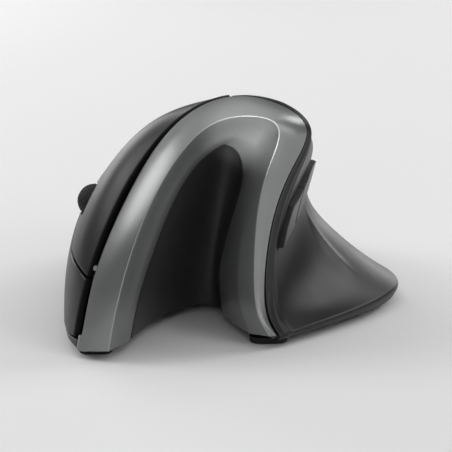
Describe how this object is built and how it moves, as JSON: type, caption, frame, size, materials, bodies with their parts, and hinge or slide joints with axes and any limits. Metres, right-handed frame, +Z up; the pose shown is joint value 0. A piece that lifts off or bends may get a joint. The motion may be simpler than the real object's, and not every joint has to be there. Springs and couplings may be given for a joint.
{
  "type": "vertical computer mouse",
  "caption": "Right-handed wireless vertical mouse: arched grey front trim over a dark scoop, sprung finger buttons, scroll wheel, thumb buttons and a flared thumb rest",
  "frame": {"origin": "middle of the bounding box in plan, on the plane that the feet stand on", "axes": "+Z up, -Y to the front, where the grey arch is, +X to the thumb side"},
  "size_m": [0.0895, 0.1146, 0.0624],
  "materials": {
    "trim": "satin metallic grey lacquer on moulded plastic",
    "shell": "black soft-touch plastic, fine satin",
    "thumb_grip": "black soft-touch rubberised plastic",
    "liner": "dark grey satin plastic",
    "side_button": "satin charcoal plastic",
    "inner_plastic": "plain black moulded plastic",
    "component": "moulded black component bodies",
    "rubber": "matt black rubber",
    "steel": "plated steel",
    "circuit_board": "green solder mask on glass fibre board",
    "lens": "clear acrylic",
    "cell": "plain unprinted wrap; aluminium gives the cell about its real mass"
  },
  "bodies": {
    "housing": {"front_arch_trim": "trim", "scoop_liner": "liner", "palm_shell": "shell", "thumb_shell": "thumb_grip", "finger_side_rail": "shell", "button_frame": "inner_plastic", "base_plate": "inner_plastic", "finger_board": "circuit_board", "thumb_board": "circuit_board", "main_board": "circuit_board", "wheel_encoder": "component", "wheel_switch": "component", "upper_switch": "component", "lower_switch": "component", "resolution_switch": "component", "forward_switch": "component", "back_switch": "component", "light_pin": "lens", "optical_sensor": "component", "sensor_lens": "lens", "power_switch": "steel", "battery": "cell", "battery_tray": "inner_plastic", "battery_plate": "steel", "battery_spring": "steel", "screw_1": "steel", "screw_2": "steel", "screw_3": "steel", "screw_4": "steel", "screw_post_1": "inner_plastic", "screw_post_2": "inner_plastic", "screw_post_3": "inner_plastic", "screw_post_4": "inner_plastic", "front_left_foot": "rubber", "front_right_foot": "rubber", "thumb_foot": "rubber", "rear_left_foot": "rubber", "rear_right_foot": "rubber"},
    "upper_click": {"upper_button": "shell", "upper_plunger": "side_button"},
    "lower_click": {"lower_button": "shell", "lower_plunger": "side_button"},
    "wheel_carrier": {"wheel_cradle": "inner_plastic"},
    "wheel": {"wheel_tread": "rubber", "wheel_hub": "inner_plastic", "wheel_axle": "steel"},
    "forward_key": {"forward_button": "side_button", "forward_plunger": "side_button"},
    "back_key": {"back_button": "side_button", "back_plunger": "side_button"},
    "resolution_key": {"resolution_button": "side_button", "resolution_plunger": "side_button"},
    "power_knob": {"power_slider": "component"},
    "door": {"battery_door": "component"},
    "receiver": {"receiver_cap": "component", "receiver_plug": "steel"}
  },
  "joints": [
    {"name": "upper_button_click", "type": "hinge", "parent": "housing", "child": "upper_click", "pos_m": [-0.03453, -0.00163, 0.03259], "axis": [0.8562, 0.2191, 0.4679], "range_deg": [0, 0.8], "stiffness_Nm_per_rad": 2, "springref_deg": -0.23},
    {"name": "lower_button_click", "type": "hinge", "parent": "housing", "child": "lower_click", "pos_m": [-0.04319, -0.00492, 0.00859], "axis": [0.2689, 0.0889, 0.9591], "range_deg": [0, 0.8], "stiffness_Nm_per_rad": 2, "springref_deg": -0.23},
    {"name": "wheel_click", "type": "slide", "parent": "housing", "child": "wheel_carrier", "axis": [0.8726, -0.0514, -0.4858], "range_m": [0, 0.0003], "stiffness_N_per_m": 2400, "springref_m": -0.0002},
    {"name": "wheel_scroll", "type": "hinge", "parent": "wheel_carrier", "child": "wheel", "pos_m": [-0.02985, -0.023, 0.02868], "axis": [0.4826, 0.2452, 0.8408], "continuous": true},
    {"name": "forward_button_press", "type": "slide", "parent": "housing", "child": "forward_key", "axis": [-0.9383, 0.3393, 0.0664], "range_m": [0, 0.0004], "stiffness_N_per_m": 2000, "springref_m": -0.0001},
    {"name": "back_button_press", "type": "slide", "parent": "housing", "child": "back_key", "axis": [-0.9776, 0.1615, 0.1353], "range_m": [0, 0.0004], "stiffness_N_per_m": 2000, "springref_m": -0.0001},
    {"name": "resolution_button_press", "type": "slide", "parent": "housing", "child": "resolution_key", "axis": [0.8104, -0.1461, -0.5674], "range_m": [0, 0.00035], "stiffness_N_per_m": 2000, "springref_m": -0.0001},
    {"name": "power_slide", "type": "slide", "parent": "housing", "child": "power_knob", "axis": [0, 1, 0], "range_m": [0, 0.004]},
    {"name": "battery_door_open", "type": "hinge", "parent": "housing", "child": "door", "pos_m": [0.00242, 0.04485, 0.00205], "axis": [1, 0, 0], "range_deg": [0, 75]},
    {"name": "receiver_pull", "type": "slide", "parent": "housing", "child": "receiver", "axis": [0, 0, -1], "range_m": [0, 0.018]}
  ]
}
